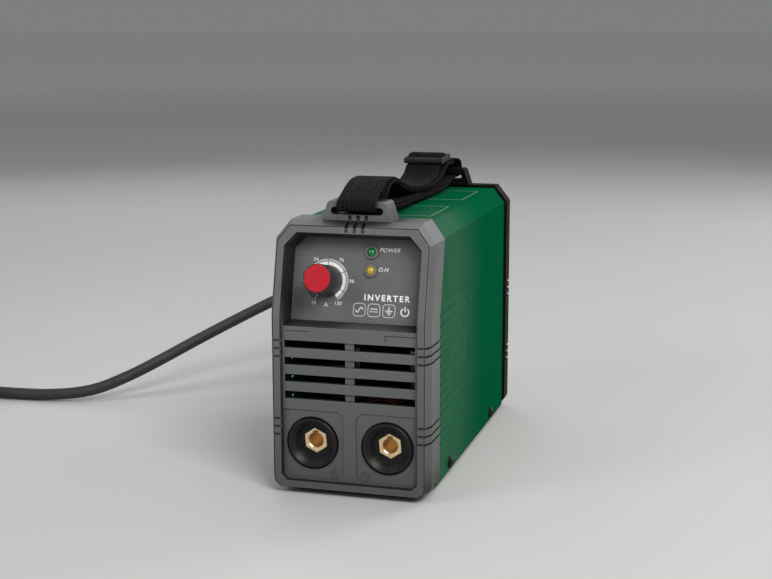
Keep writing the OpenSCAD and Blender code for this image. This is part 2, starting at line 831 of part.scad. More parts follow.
// Outline of a ribbon of thickness t along points [y, z]
function sides(p, i, t) = let(
    a = p[max(i - 1, 0)], b = p[min(i + 1, len(p) - 1)],
    d = [b[0] - a[0], b[1] - a[1]], n = [-d[1], d[0]] / norm(d) * t / 2
) [[p[i][0] + n[0], p[i][1] + n[1]], [p[i][0] - n[0], p[i][1] - n[1]]];

module ribbon(p, t) {
    s = [for (i = [0:len(p) - 1]) sides(p, i, t)];
    polygon(concat([for (q = s) q[0]], [for (i = [len(s) - 1:-1:0]) s[i][1]]));
}

// A point on the webbing where it threads the buckle, from its place along and above the buckle
function in_buckle(u, v) = [
    buckle_at[0] + u * cos(buckle_turn) - v * sin(buckle_turn),
    buckle_at[1] + u * sin(buckle_turn) + v * cos(buckle_turn)
];

// Outer layer: from behind the front tab, out through its slot, over the top and through the buckle
// to the rear slot
upper_run = concat(
    [
        [46, 176.6], [38, 176.9], [28, 177], [20.5, 177.2], [18.2, 178.8], [18.6, 181.2], [21.1, 183.9],
        [29.4, 187.4], [39.3, 191.1], [50, 193.7], [62, 194.1], [71, 193.1], [86, 188.8], [105.6, 184.1],
        [126.4, 181.4], [148, 180.4], [166.6, 181.6], [178, 184.2], [183, 186.9], [188.2, 190]
    ],
    [
        in_buckle(-7.5, -3.1), in_buckle(-3.6, 3), in_buckle(0, 3.2), in_buckle(3.6, 3), in_buckle(7.5, -3.1),
        in_buckle(11, -3.2)
    ],
    [
        [218, 191.6], [227, 191.2], [238, 190.6], [247, 189.6], [253, 187.6], [255.8, 184.6], [256, 181.2],
        [253.6, 178.2], [249.5, 177.1], [243, 176.9], [236, 176.9]
    ]
);
// Two layers folded back under the outer one
inner_run = [
    [39, 177.9], [42, 178.6], [44, 181.5], [46, 185.2], [50, 188.4], [55, 190.5], [62, 191.9], [71, 190.9],
    [86, 186.6], [105.7, 181.9], [126.4, 179.2], [148, 178.1], [166, 178.2], [181, 179.6], [194, 182],
    [205, 186.2], [213, 188.9], [222, 189], [231, 188.6]
];
// Two layers back along the cover from the rear slot to the front slot
lower_run = [
    [236.1, 177.2], [230, 176.6], [222, 175.2], [210, 173.3], [186, 172.3], [148, 172.4], [112.6, 173],
    [79.3, 173.5], [60, 174.8], [45.9, 176.5]
];

// The strap's spare end, doubled and tucked on top of the lower run
fold_run = [[49, 178.7], [60, 177.4], [79.3, 176.1], [112.6, 175.6], [136, 175]];

module carry_strap() color([0.05, 0.05, 0.06]) at_body() {
    across(strap_w) ribbon(upper_run, web_t);
    across(strap_w) ribbon(fold_run, 2 * web_t);
    across(strap_w) ribbon(inner_run, 2 * web_t);
    across(strap_w) ribbon(lower_run, 2 * web_t);
}

module strap_buckle() color([0.07, 0.07, 0.08]) at_body()
    translate([0, buckle_at[0], buckle_at[1]]) rotate([buckle_turn, 0, 0]) difference() {
        across(strap_w + 3.4) polygon([
            [-13, -1.2], [-12, -2], [12, -2], [13, -1.2], [13, 0.6], [11.6, 2], [-11.6, 2], [-13, 0.6]
        ]);
        for (u = [-9, 2.6])
            translate([-strap_w / 2 - 0.3, u, -3]) cube([strap_w + 0.6, 6.4, 6]);
    }

// ---------- mains cord ----------

// Rings of points round a route, each square to the direction of travel there
function heading(p, i) = let(d = p[min(i + 1, len(p) - 1)] - p[max(i - 1, 0)]) d / norm(d);
function ring(p, i, r, n) = let(
    t = heading(p, i),
    flat = cross([0, 0, 1], t),
    side = norm(flat) > 0.01 ? flat / norm(flat) : [1, 0, 0],
    up = cross(t, side)
) [for (k = [0:n - 1]) p[i] + r * (cos(360 * k / n) * side + sin(360 * k / n) * up)];

module tube(p, r, n = 10) {
    rings = [for (i = [0:len(p) - 1]) each ring(p, i, r, n)];
    last = (len(p) - 1) * n;
    faces = concat(
        [[for (k = [0:n - 1]) k]],
        [[for (k = [n - 1:-1:0]) last + k]],
        [for (i = [0:len(p) - 2], k = [0:n - 1])
            [i * n + k, (i + 1) * n + k, (i + 1) * n + (k + 1) % n]],
        [for (i = [0:len(p) - 2], k = [0:n - 1])
            [i * n + k, (i + 1) * n + (k + 1) % n, i * n + (k + 1) % n]]
    );
    polyhedron(rings, faces);
}

// Catmull-Rom points between the route's own, n to a stretch
function between(a, b, c, d, t) = 0.5 * (2 * b + (c - a) * t + (2 * a - 5 * b + 4 * c - d) * t * t
    + (3 * b - a - 3 * c + d) * t * t * t);
function smooth(p, n) = concat(
    [for (i = [0:len(p) - 2], k = [0:n - 1])
        between(p[max(i - 1, 0)], p[i], p[i + 1], p[min(i + 2, len(p) - 1)], k / n)],
    [p[len(p) - 1]]
);

module cable_gland() color([0.06, 0.06, 0.06]) {
    start = rear_plate[1] + front_y;
    translate([gland_at[0], 0, foot_h + gland_at[1]]) {
        rod(7.9, start - 9, start + 0.1);
        rod(12, start, start + 4);
        cone(9.5, 5.6, start + 4, relief_end);
        for (i = [0:4])
            rod(9.6 - i * 0.7, start + 8 + i * 7, start + 11 + i * 7);
        // Nut inside
        difference() {
            translate([0, rear_plate[0] + front_y, 0]) rotate([90, 0, 0]) cylinder(r = 12, h = 5, $fn = 6);
            rod(7.9, start - 20, start);
        }
    }
}

module power_cord() color([0.05, 0.05, 0.05]) {
    tube(smooth(cord_route, 2), cord_d / 2);
    tube(smooth(tail_route, 2), cord_d / 2);
}

module coil_section(extra = 0) {
    w = coil_bundle[0] / 2 + extra;
    h = coil_bundle[1] + extra;
    c = 4;
    low = tie_t - extra;
    polygon([
        [-w, low + c], [-w + c, low], [w - c, low], [w, low + c],
        [w, tie_t + h - c], [w - c, tie_t + h], [-w + c, tie_t + h], [-w, tie_t + h - c]
    ]);
}

module cord_coil() color([0.05, 0.05, 0.05]) translate([coil_at[0], coil_at[1], 0])
    rotate_extrude($fn = 72) translate([coil_r, 0]) coil_section();

module cord_tie() color([0.12, 0.12, 0.13]) translate([coil_at[0], coil_at[1], 0])
    rotate([0, 0, 115]) rotate_extrude(angle = 14, $fn = 72) translate([coil_r, 0]) difference() {
        coil_section(tie_t);
        coil_section(0.05);
    }

module at_plug() translate(plug_at) rotate([0, 0, 180]) children();

module plug_body() color([0.06, 0.06, 0.06]) at_plug() {
    cone(5.6, 8.5, 0, 26);
    cone(8.5, 15, 26, 36);
    difference() {
        rod(18.6, 36, 56);
        rod(15.6, 53, 57);
        for (side = [-1, 1])
            translate([side * pin_x, 0, 0]) rod(pin_root_r, 44, 57);
    }
}

module plug_pins() color([0.78, 0.76, 0.70]) at_plug() for (side = [-1, 1])
    translate([side * pin_x, 0, 0]) {
        rod(pin_root_r - fit, 44.1, 53.5);
        rod(pin_r, 53.05, 71);
        cone(pin_r, 1.4, 71, 72.4);
    }

front_panel();
housing_cover();
rear_panel();
base_plate();
cover_screws();
rear_screws();
feet();
current_knob();
knob_cap();
pot_shaft();
pot_body();
pot_nut();
control_board();
power_led();
overheat_led();
led_bezels();
left_socket_body();
right_socket_body();
left_socket_insert();
right_socket_insert();
socket_nuts();
busbars();
main_board();
board_standoffs();
board_screws();
heat_sinks();
power_transistors();
bridge_rectifier();
bus_capacitors();
transformer_core();
transformer_windings();
output_choke();
fan_frame();
fan_rotor();
fan_screws();
switch_housing();
switch_rocker();
carry_strap();
strap_buckle();
cable_gland();
power_cord();
cord_coil();
cord_tie();
plug_body();
plug_pins();
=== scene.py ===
"""Looks of the stick welding inverter: materials, print, webbing and the mains cord."""

import json
import math

import bmesh
import bpy
import numpy as np
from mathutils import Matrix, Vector


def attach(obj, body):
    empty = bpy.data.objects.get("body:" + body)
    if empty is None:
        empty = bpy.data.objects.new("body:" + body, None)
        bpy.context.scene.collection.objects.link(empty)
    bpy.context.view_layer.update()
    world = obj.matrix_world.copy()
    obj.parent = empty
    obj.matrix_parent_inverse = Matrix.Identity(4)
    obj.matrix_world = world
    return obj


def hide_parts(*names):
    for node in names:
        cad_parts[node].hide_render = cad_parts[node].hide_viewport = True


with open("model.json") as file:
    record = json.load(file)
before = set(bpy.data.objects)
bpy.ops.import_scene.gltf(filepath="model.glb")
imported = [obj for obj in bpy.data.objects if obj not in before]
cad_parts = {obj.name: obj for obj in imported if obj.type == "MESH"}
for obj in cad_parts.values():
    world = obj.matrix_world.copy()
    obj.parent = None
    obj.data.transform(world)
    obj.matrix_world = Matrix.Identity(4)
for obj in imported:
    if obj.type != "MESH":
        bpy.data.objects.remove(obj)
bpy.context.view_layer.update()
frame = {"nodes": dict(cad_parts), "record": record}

# ---------- the CAD frame's own values, in metres ----------

FRONT_Y = -0.1256  # y of the front rim
FOOT_H = 0.0045
BODY_H = 0.1709
BEND_H = 0.1117  # height of the bend in the front face, above the bottom edge
LEAN = math.radians(13.8)
POCKET_D = 0.0125
DIAL = (-0.0187, 0.0244)  # x, and distance up the leaning face
STRAP_W = 0.0255
WEB_T = 0.0014
CORD_D = 0.009


def on_body(x, y, z):
    """A point of the case frame, in metres, as a point of the row frame."""
    return (x, y + FRONT_Y, z + FOOT_H)


def on_panel(x, s, depth=POCKET_D):
    """A point of the leaning control panel: across, up the face, and square into it."""
    y = depth * math.cos(LEAN) + s * math.sin(LEAN)
    z = BEND_H - depth * math.sin(LEAN) + s * math.cos(LEAN)
    return on_body(x, y, z)


# ---------- camera ----------

camera = bpy.data.objects.new("camera", bpy.data.cameras.new("camera"))
bpy.context.scene.collection.objects.link(camera)
camera.location = (0.2637, -0.9547, 0.2978)
camera.rotation_euler = (math.radians(79.42), math.radians(0.12), math.radians(16.03))
camera.data.lens = 66.65
camera.data.sensor_width = 36
camera.data.clip_start = 0.01
bpy.context.scene.camera = camera


# ---------- mesh helpers ----------


def add_object(name, data):
    piece = bpy.data.objects.new(name, data)
    bpy.context.scene.collection.objects.link(piece)
    return piece


def mesh_object(name, points, faces, smooth=False):
    mesh = bpy.data.meshes.new(name)
    mesh.from_pydata([tuple(map(float, p)) for p in points], [], faces)
    mesh.polygons.foreach_set("use_smooth", [smooth] * len(mesh.polygons))
    mesh.update()
    return add_object(name, mesh)


def smooth_route(points, steps):
    """Catmull-Rom points through a given route."""
    p = np.array(points, float)
    padded = np.vstack([p[0], p, p[-1]])
    found = []
    for a, b, c, d in zip(padded, padded[1:], padded[2:], padded[3:]):
        for t in np.arange(steps) / steps:
            square = (2 * a - 5 * b + 4 * c - d) * t**2
            cube = (3 * b - a - 3 * c + d) * t**3
            found.append(0.5 * (2 * b + (c - a) * t + square + cube))
    return np.array(found + [p[-1]])


def tube(name, points, radius, around=20):
    """A round tube along points, closed at both ends."""
    path = [Vector(p) for p in points]
    rings = []
    side = None
    for i, p in enumerate(path):
        ahead = (path[min(i + 1, len(path) - 1)] - path[max(i - 1, 0)]).normalized()
        if side is None:
            side = ahead.cross(Vector((0, 0, 1))).normalized()
        side = (side - ahead * side.dot(ahead)).normalized()
        up = side.cross(ahead)
        for k in range(around):
            angle = 2 * math.pi * k / around
            rings.append(p + radius * (math.cos(angle) * side + math.sin(angle) * up))
    faces = [tuple(range(around))]
    for i in range(len(path) - 1):
        for k in range(around):
            a, b = i * around + k, i * around + (k + 1) % around
            faces.append((a, a + around, b + around, b))
    faces.append(tuple(range((len(path) - 1) * around, len(path) * around))[::-1])
    return mesh_object(name, rings, faces, smooth=True)


# ---------- mains cord ----------

CORD_ROUTE = [
    (-0.024, 0.172, 0.1345), (-0.024, 0.184, 0.1345), (-0.028, 0.197, 0.132), (-0.038, 0.209, 0.128),
    (-0.054, 0.216, 0.121), (-0.073, 0.215, 0.112), (-0.096, 0.207, 0.100), (-0.120, 0.194, 0.086),
    (-0.143, 0.177, 0.073), (-0.165, 0.156, 0.062), (-0.186, 0.133, 0.051), (-0.206, 0.108, 0.040),
    (-0.225, 0.084, 0.029), (-0.246, 0.063, 0.018), (-0.270, 0.048, 0.009), (-0.300, 0.039, 0.0055),
    (-0.335, 0.0355, 0.005), (-0.370, 0.035, 0.0055), (-0.400, 0.035, 0.0055),
]
TAIL_ROUTE = [
    (-0.4525, -0.022, 0.0145), (-0.453, -0.038, 0.0146), (-0.455, -0.054, 0.0134), (-0.4575, -0.070, 0.015),
    (-0.459, -0.083, 0.0188), (-0.4595, -0.092, 0.020),
]
COIL_AT = (-0.400, -0.022)
COIL_START_R = 0.057
COIL_START_Z = 0.0055
COIL_TURNS = 4.25
# Where the turns step inwards or outwards, and up: first turn, last turn, change
COIL_R_STEPS = ((0.74, 0.92, -0.009), (1.74, 1.92, -0.009), (2.68, 2.90, 0.0045), (3.54, 3.82, 0.009))
COIL_Z_STEPS = ((2.58, 2.78, 0.009),)
POINTS_A_TURN = 32


def stepped(start, steps, turn):
    value = start
    for first, last, change in steps:
        t = min(max((turn - first) / (last - first), 0), 1)
        value += change * t * t * (3 - 2 * t)
    return value


def coil_section(turn):
    """The cord's distance from the coil's axis and its height, turns after it joins the coil."""
    return stepped(COIL_START_R, COIL_R_STEPS, turn), stepped(COIL_START_Z, COIL_Z_STEPS, turn)


def round_coil(angle, r, z):
    return (COIL_AT[0] + r * math.cos(angle), COIL_AT[1] + r * math.sin(angle), z)


def coil_point(turn):
    """A point on the coil, which the cord joins at its far side."""
    return round_coil(math.pi / 2 + 2 * math.pi * turn, *coil_section(turn))


coil = [coil_point(i / POINTS_A_TURN) for i in range(1, int(COIL_TURNS * POINTS_A_TURN))]
cord_line = np.vstack([smooth_route(CORD_ROUTE, 4), coil, smooth_route(TAIL_ROUTE, 4)])
mains_cord = tube("mains_cord", cord_line, CORD_D / 2)
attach(mains_cord, "case")
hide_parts("power_cord", "cord_coil")


def wrap_profile(centres, radius, count=64):
    """Outline of a band drawn tight round circles of one radius."""
    outline = []
    for k in range(count):
        way = np.array([math.cos(2 * math.pi * k / count), math.sin(2 * math.pi * k / count)])
        furthest = max(centres, key=lambda c: float(np.dot(c, way)))
        outline.append(np.array(furthest) + radius * way)
    return outline


# The tie's place round the coil, and how far its two faces stand off the cord
TIE_ANGLES = np.radians(np.linspace(115.5, 128.5, 9))
TIE_INNER = 0.0001
TIE_OUTER = 0.0010


def cord_band():
    """The tie: a band drawn tight round the turns that pass through it."""
    first_turn = math.degrees(TIE_ANGLES.mean() - math.pi / 2) / 360
    centres = [coil_section(k + first_turn) for k in range(math.ceil(COIL_TURNS))]
    inner = wrap_profile(centres, CORD_D / 2 + TIE_INNER)
    outer = wrap_profile(centres, CORD_D / 2 + TIE_OUTER)
    n = len(inner)
    points = []
    for angle in TIE_ANGLES:
        points += [round_coil(angle, r, z) for r, z in inner + outer]
    faces = []
    for i in range(len(TIE_ANGLES) - 1):
        for k in range(n):
            a, b = 2 * n * i + k, 2 * n * i + (k + 1) % n
            faces.append((a, b, b + 2 * n, a + 2 * n))
            faces.append((a + n, a + 3 * n, b + 3 * n, b + n))
    last = 2 * n * (len(TIE_ANGLES) - 1)
    for k in range(n):
        b = (k + 1) % n
        faces.append((k, k + n, b + n, b))
        faces.append((last + k, last + b, last + b + n, last + k + n))
    return mesh_object("tie_band", points, faces, smooth=True)


tie_band = cord_band()
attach(tie_band, "case")
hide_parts("cord_tie")


# ---------- materials ----------

NODE_SAMPLES = 6  # rays of each bevel and occlusion node


class Look:
    """A Principled material whose detail is built up from nodes."""

    def __init__(self, name, colour, roughness, **sockets):
        self.material = bpy.data.materials.new(name)
        self.material.use_nodes = True
        self.tree = self.material.node_tree
        self.bsdf = self.tree.nodes["Principled BSDF"]
        self.colour = colour
        self.bsdf.inputs["Base Color"].default_value = (*colour, 1)
        self.bsdf.inputs["Roughness"].default_value = roughness
        for socket, value in sockets.items():
            self.bsdf.inputs[socket.replace("_", " ")].default_value = value
        self.normal = None

    def node(self, kind, inputs=None, **settings):
        made = self.tree.nodes.new("ShaderNode" + kind)
        for key, value in settings.items():
            setattr(made, key, value)
        for key, value in (inputs or {}).items():
            if isinstance(value, bpy.types.NodeSocket):
                self.tree.links.new(value, made.inputs[key])
            else:
                made.inputs[key].default_value = value
        return made

    def math(self, operation, *values):
        return self.node("Math", dict(enumerate(values)), operation=operation).outputs[0]

    def place(self, kind="Object"):
        return self.node("TexCoord").outputs[kind]

    def noise(self, scale, detail=2.0, stretch=(1, 1, 1)):
        spread = self.node("Mapping", {"Vector": self.place(), "Scale": stretch})
        inputs = {"Vector": spread.outputs[0], "Scale": scale, "Detail": detail}
        return self.node("TexNoise", inputs).outputs[0]

    def span(self, value, low, high, start=0.3, end=0.7):
        """value from start to end, which suit a noise, turned into low to high."""
        made = self.node("MapRange", {0: value, 1: start, 2: end, 3: low, 4: high})
        return made.outputs[0]

    def tint(self, value, low, high):
        """The colour so far, from low to high times itself as value goes from 0 to 1."""
        socket = self.bsdf.inputs["Base Color"]
        mixed = self.node("Mix", {0: value}, data_type="RGBA")
        for index, factor in ((6, low), (7, high)):
            if socket.is_linked:
                inputs = {0: 1.0, 7: (factor, factor, factor, 1)}
                brighter = self.node("Mix", inputs, data_type="RGBA", blend_type="MULTIPLY")
                self.tree.links.new(socket.links[0].from_socket, brighter.inputs[6])
                self.tree.links.new(brighter.outputs[2], mixed.inputs[index])
            else:
                mixed.inputs[index].default_value = (*[c * factor for c in self.colour], 1)
        self.tree.links.new(mixed.outputs[2], socket)
        return self

    def lead(self, value, socket):
        """A node's output, led into one of the shader's own sockets."""
        self.tree.links.new(value, self.bsdf.inputs[socket])
        return self

    def rough(self, value, low, high):
        return self.lead(self.span(value, low, high), "Roughness")

    def round_edges(self, radius):
        self.normal = self.node("Bevel", {"Radius": radius}, samples=NODE_SAMPLES).outputs[0]
        return self.lead(self.normal, "Normal")

    def wear_and_edge_highlight(self, strength, radius):
        """Edges lighter: partly rubbed wear, as the sharp corners of a moulding are, and partly a painted
        highlight.
        """
        wide = self.node("Bevel", {"Radius": radius}, samples=NODE_SAMPLES).outputs[0]
        flat = self.node("NewGeometry").outputs["Normal"]
        turn = self.node("VectorMath", {0: wide, 1: flat}, operation="DOT_PRODUCT").outputs["Value"]
        patchy = self.span(self.noise(700, 3), 0.5, 1.0)
        near = self.math("MULTIPLY", self.span(turn, 1.0, 0.0, 0.86, 0.995), patchy)
        return self.tint(near, 1.0, strength)

    def openness(self, reach, closed, free):
        """From 0 to 1 as surfaces within reach leave a place closed in or free."""
        occlusion = self.node("AmbientOcclusion", {"Distance": reach}, samples=NODE_SAMPLES)
        return self.span(occlusion.outputs["AO"], 0, 1, closed, free)

    def painted_corner_shade(self, reach, darkest):
        """Painted shade, darker in the corners of recesses."""
        return self.tint(self.openness(reach, 0.25, 0.85), darkest, 1.0)

    def painted_wall_shade(self, reach, darkest):
        """Painted shade on the walls of recesses in the front, and not on their floors, which face along y.
        """
        walls_free = self.openness(reach, 0.78, 0.98)
        normal = self.node("NewGeometry").outputs["True Normal"]
        along_y = self.math("ABSOLUTE", self.node("SeparateXYZ", {0: normal}).outputs[1])
        faces_front = self.span(along_y, 0, 1, 0.45, 0.85)
        return self.tint(self.math("MAXIMUM", walls_free, faces_front), darkest, 1.0)

    def painted_shade_below(self, bottom, top, darkest):
        """Painted shade: darkest below one height and full above another, in metres."""
        up = self.node("SeparateXYZ", {0: self.place()}).outputs[2]
        return self.tint(self.span(up, 0, 1, bottom, top), darkest, 1.0)

    def bump(self, height, distance, strength=1.0):
        inputs = {"Height": height, "Distance": distance, "Strength": strength}
        if self.normal is not None:
            inputs["Normal"] = self.normal
        self.normal = self.node("Bump", inputs).outputs[0]
        return self.lead(self.normal, "Normal")


def moulded(name, colour, roughness, grain=1900, depth=0.00006, edge=1.35, radius=0.0004, **sockets):
    """Injection-moulded plastic: spark-eroded grain, faint clouding and lighter edges, partly wear and
    partly a painted highlight.
    """
    look = Look(name, colour, roughness, **sockets)
    look.tint(look.noise(28, 3), 0.93, 1.06)
    look.tint(look.span(look.noise(grain * 1.6, 2), 0, 1), 0.93, 1.06)
    if edge > 1:
        look.wear_and_edge_highlight(edge, radius * 2)
    look.rough(look.noise(60, 3), roughness - 0.05, roughness + 0.06)
    look.round_edges(radius)
    return look.bump(look.noise(grain, 3), depth)


def front_plastic():
    """Dark grey plastic, with painted shade in its recess corners, on its recess walls and over its lower
    part.
    """
    look = moulded("front_moulding", (0.106, 0.108, 0.110), 0.5, edge=1.6, radius=0.0005)
    # painted shade: recess corners, recess walls, and darker low down
    look.painted_corner_shade(0.005, 0.25)
    look.painted_wall_shade(0.025, 0.06)
    return look.painted_shade_below(0.01, 0.10, 0.62)


def metal(name, colour, roughness, stretch=(1, 1, 1), scale=900, depth=0.00002, **sockets):
    """Bare metal with fine marks drawn out along its working direction."""
    look = Look(name, colour, roughness, Metallic=1.0, **sockets)
    look.tint(look.noise(scale, 3, stretch), 0.86, 1.08)
    look.rough(look.noise(scale * 0.7, 3, stretch), roughness - 0.08, roughness + 0.10)
    look.round_edges(0.0002)
    return look.bump(look.noise(scale, 2, stretch), depth)


# Painted sheen on the cover: its specular level near the front, and where it fades to none
SHEEN = 0.05
SHEEN_FADES = (0.085, 0.19)  # from and to, behind the front rim


def powder_coat(name, colour):
    """Sprayed steel: a matt orange-peel skin with faint flecks, and a painted sheen on its front part that
    fades further back.
    """
    look = Look(name, colour, 0.5)
    # painted sheen, strongest near the front rim and gone further back
    back = look.node("SeparateXYZ", {0: look.place()}).outputs[1]
    fade = look.span(back, 1, 0, FRONT_Y + SHEEN_FADES[0], FRONT_Y + SHEEN_FADES[1])
    painted_sheen = look.math("POWER", fade, 4.0)
    look.lead(look.math("MULTIPLY", painted_sheen, SHEEN), "Specular IOR Level")
    look.tint(look.noise(9, 3), 0.92, 1.08)
    look.tint(look.span(look.noise(2600, 1), 0, 1, 0.62, 0.74), 1.0, 1.25)
    look.wear_and_edge_highlight(1.5, 0.0005)
    look.rough(look.noise(35, 3), 0.44, 0.56)
    look.round_edges(0.0005)
    look.bump(look.noise(420, 2), 0.00005, 0.6)
    return look.bump(look.noise(1500, 2), 0.00002, 0.5)


def woven(name, colour, column=0.0028, yarn=0.0016):
    """Webbing seen in its own UVs, in metres: columns of slanting yarns that change direction."""
    look = Look(name, colour, 0.75, Specular_IOR_Level=0.08)
    uv = look.node("SeparateXYZ", {0: look.place("UV")})
    u, v = uv.outputs[0], uv.outputs[1]
    across = look.math("DIVIDE", u, column)
    odd = look.math("MODULO", look.math("FLOOR", across), 2.0)
    slant = look.math("SUBTRACT", look.math("MULTIPLY", odd, 2.0), 1.0)
    inside = look.math("FRACT", across)
    rise = look.math("MULTIPLY", look.math("MULTIPLY", inside, slant), column * 0.55)
    line = look.math("DIVIDE", look.math("ADD", v, rise), yarn)
    yarns = look.math("ABSOLUTE", look.math("SINE", look.math("MULTIPLY", line, math.pi)))
    crown = look.math("SINE", look.math("MULTIPLY", inside, math.pi))
    height = look.math("MULTIPLY", yarns, look.math("POWER", crown, 0.45))
    look.tint(look.span(height, 0, 1, 0.1, 0.95), 0.08, 3.0)
    look.tint(look.noise(90, 3), 0.8, 1.15)
    look.rough(look.noise(300, 3), 0.62, 0.85)
    look.bump(height, 0.0008)
    return look.bump(look.noise(4500), 0.00006, 0.7)


def rubber(name, colour, roughness=0.62):
    look = Look(name, colour, roughness)
    look.tint(look.noise(45, 4), 0.85, 1.2)
    look.tint(look.span(look.noise(2200, 2), 0, 1, 0.58, 0.75), 1.0, 1.5)
    look.rough(look.noise(120, 3), roughness - 0.08, roughness + 0.10)
    return look.bump(look.noise(1400, 3), 0.00005)


def lens(name, colour):
    """Tinted lamp lens, moulded with fine ridges inside."""
    coat = {"Coat_Weight": 0.7, "Coat_Roughness": 0.05}
    look = Look(name, colour, 0.12, Transmission_Weight=0.25, IOR=1.5, **coat)
    look.tint(look.noise(900, 2), 0.75, 1.3)
    look.rough(look.noise(500, 2), 0.08, 0.2)
    return look.bump(look.noise(1200, 1), 0.00004, 0.5)


def turned(name, colour, centres, roughness, ring_pitch=0.0004):
    """Metal faced on a lathe, with fine rings round the nearest of the given axes along y."""
    look = Look(name, colour, roughness, Metallic=1.0)
    place = look.node("SeparateXYZ", {0: look.place()})
    radii = []
    for x, z in centres:
        dx = look.math("SUBTRACT", place.outputs[0], x)
        dz = look.math("SUBTRACT", place.outputs[2], z)
        square = look.math("ADD", look.math("MULTIPLY", dx, dx), look.math("MULTIPLY", dz, dz))
        radii.append(look.math("SQRT", square))
    nearest = radii[0]
    for r in radii[1:]:
        nearest = look.math("MINIMUM", nearest, r)
    rings = look.math("SINE", look.math("MULTIPLY", nearest, 2 * math.pi / ring_pitch))
    look.tint(look.noise(260, 3), 0.85, 1.1)
    look.rough(look.noise(600, 3), roughness - 0.08, roughness + 0.12)
    look.round_edges(0.00035)
    return look.bump(rings, 0.000012, 0.6)


def wound(name, colour, pitch):
    """Enamelled wire wound in layers."""
    look = Look(name, colour, 0.3, Metallic=0.85, Coat_Weight=0.4)
    place = look.node("SeparateXYZ", {0: look.place()})
    run = look.math("ADD", place.outputs[1], look.math("MULTIPLY", place.outputs[2], 0.35))
    wires = look.math("ABSOLUTE", look.math("SINE", look.math("MULTIPLY", run, math.pi / pitch)))
    look.tint(wires, 0.4, 1.1)
    look.tint(look.noise(300, 3), 0.85, 1.1)
    return look.bump(wires, 0.0003)


SOCKETS = [(-0.0248, 0.0338), (0.0248, 0.0338)]  # x and z of their axes
FINE = {"grain": 2600, "depth": 0.00003}
FINEST = {"grain": 2600, "depth": 0.00002}
LOOKS = {
    "front_moulding": front_plastic(),
    "case_green": powder_coat("case_green", (0.0015, 0.086, 0.035)),
    "rear_moulding": moulded(
        "rear_moulding", (0.005, 0.0055, 0.005), 0.5, edge=1.3, radius=0.0005, Specular_IOR_Level=0.04
    ),
    "zinc_steel": metal("zinc_steel", (0.56, 0.57, 0.58), 0.36),
    "black_screw": metal("black_screw", (0.035, 0.035, 0.037), 0.34),
    "rubber_feet": rubber("rubber_feet", (0.020, 0.020, 0.021)),
    "knob_dark": moulded("knob_dark", (0.014, 0.0145, 0.015), 0.42, edge=1.8, **FINE),
    "knob_red": moulded("knob_red", (0.44, 0.008, 0.018), 0.45, edge=1.15, Specular_IOR_Level=0.3, **FINEST),
    "pot_blue": moulded("pot_blue", (0.03, 0.08, 0.20), 0.4),
    "board_green": moulded("board_green", (0.010, 0.085, 0.030), 0.35, grain=500),
    "led_green": lens("led_green", (0.006, 0.20, 0.055)),
    "led_yellow": lens("led_yellow", (0.62, 0.40, 0.03)),
    "led_ring": moulded("led_ring", (0.14, 0.14, 0.145), 0.3, depth=0.00001, edge=2.0, radius=0.0002),
    "socket_black": moulded(
        "socket_black", (0.011, 0.011, 0.0115), 0.42, edge=1.9, Specular_IOR_Level=0.2, **FINE
    ),
    "contact_brass": turned("contact_brass", (1.0, 0.77, 0.47), SOCKETS, 0.34),
    "copper": wound("copper", (0.62, 0.25, 0.11), 0.0011),
    "sink_aluminium": metal("sink_aluminium", (0.72, 0.73, 0.75), 0.34, stretch=(1, 0.04, 1)),
    "chip_black": moulded("chip_black", (0.020, 0.020, 0.022), 0.45),
    "capacitor_blue": moulded("capacitor_blue", (0.015, 0.03, 0.12), 0.25, depth=0.00001),
    "ferrite": moulded("ferrite", (0.03, 0.03, 0.032), 0.6, grain=1200),
    "fan_black": moulded("fan_black", (0.022, 0.022, 0.022), 0.42),
    "switch_black": moulded("switch_black", (0.018, 0.018, 0.019), 0.38),
    "switch_red": moulded("switch_red", (0.45, 0.010, 0.012), 0.25, depth=0.00001, Coat_Weight=0.4),
    "buckle_black": moulded("buckle_black", (0.011, 0.011, 0.012), 0.5, edge=1.9, Specular_IOR_Level=0.2),
    "webbing": woven("webbing", (0.0052, 0.0054, 0.0056)),
    "cord_rubber": rubber("cord_rubber", (0.016, 0.016, 0.017)),
    "tie_black": woven("tie_black", (0.018, 0.018, 0.019), 0.0012, 0.0008),
    "pin_nickel": metal("pin_nickel", (0.66, 0.63, 0.56), 0.22, stretch=(1, 0.05, 1)),
}


def dress(piece, look):
    piece.data.materials.clear()
    piece.data.materials.append(LOOKS[look].material)
    return piece


for part in frame["record"]["subparts"]:
    node = frame["nodes"][part["node"]]
    for material_slot in node.material_slots:
        material_slot.material = LOOKS[part["material_slot"]].material
    if not node.material_slots:
        node.data.materials.append(LOOKS[part["material_slot"]].material)
dress(mains_cord, "cord_rubber")
dress(tie_band, "tie_black")


# ---------- carrying strap ----------

BUCKLE_AT = (0.199, 0.1942)
BUCKLE_TURN = math.radians(4)


def in_buckle(u, v):
    """A point of the webbing where it threads the buckle, from its place along and above the buckle."""
    c, s = math.cos(BUCKLE_TURN), math.sin(BUCKLE_TURN)
    return (BUCKLE_AT[0] + u * c - v * s, BUCKLE_AT[1] + u * s + v * c)


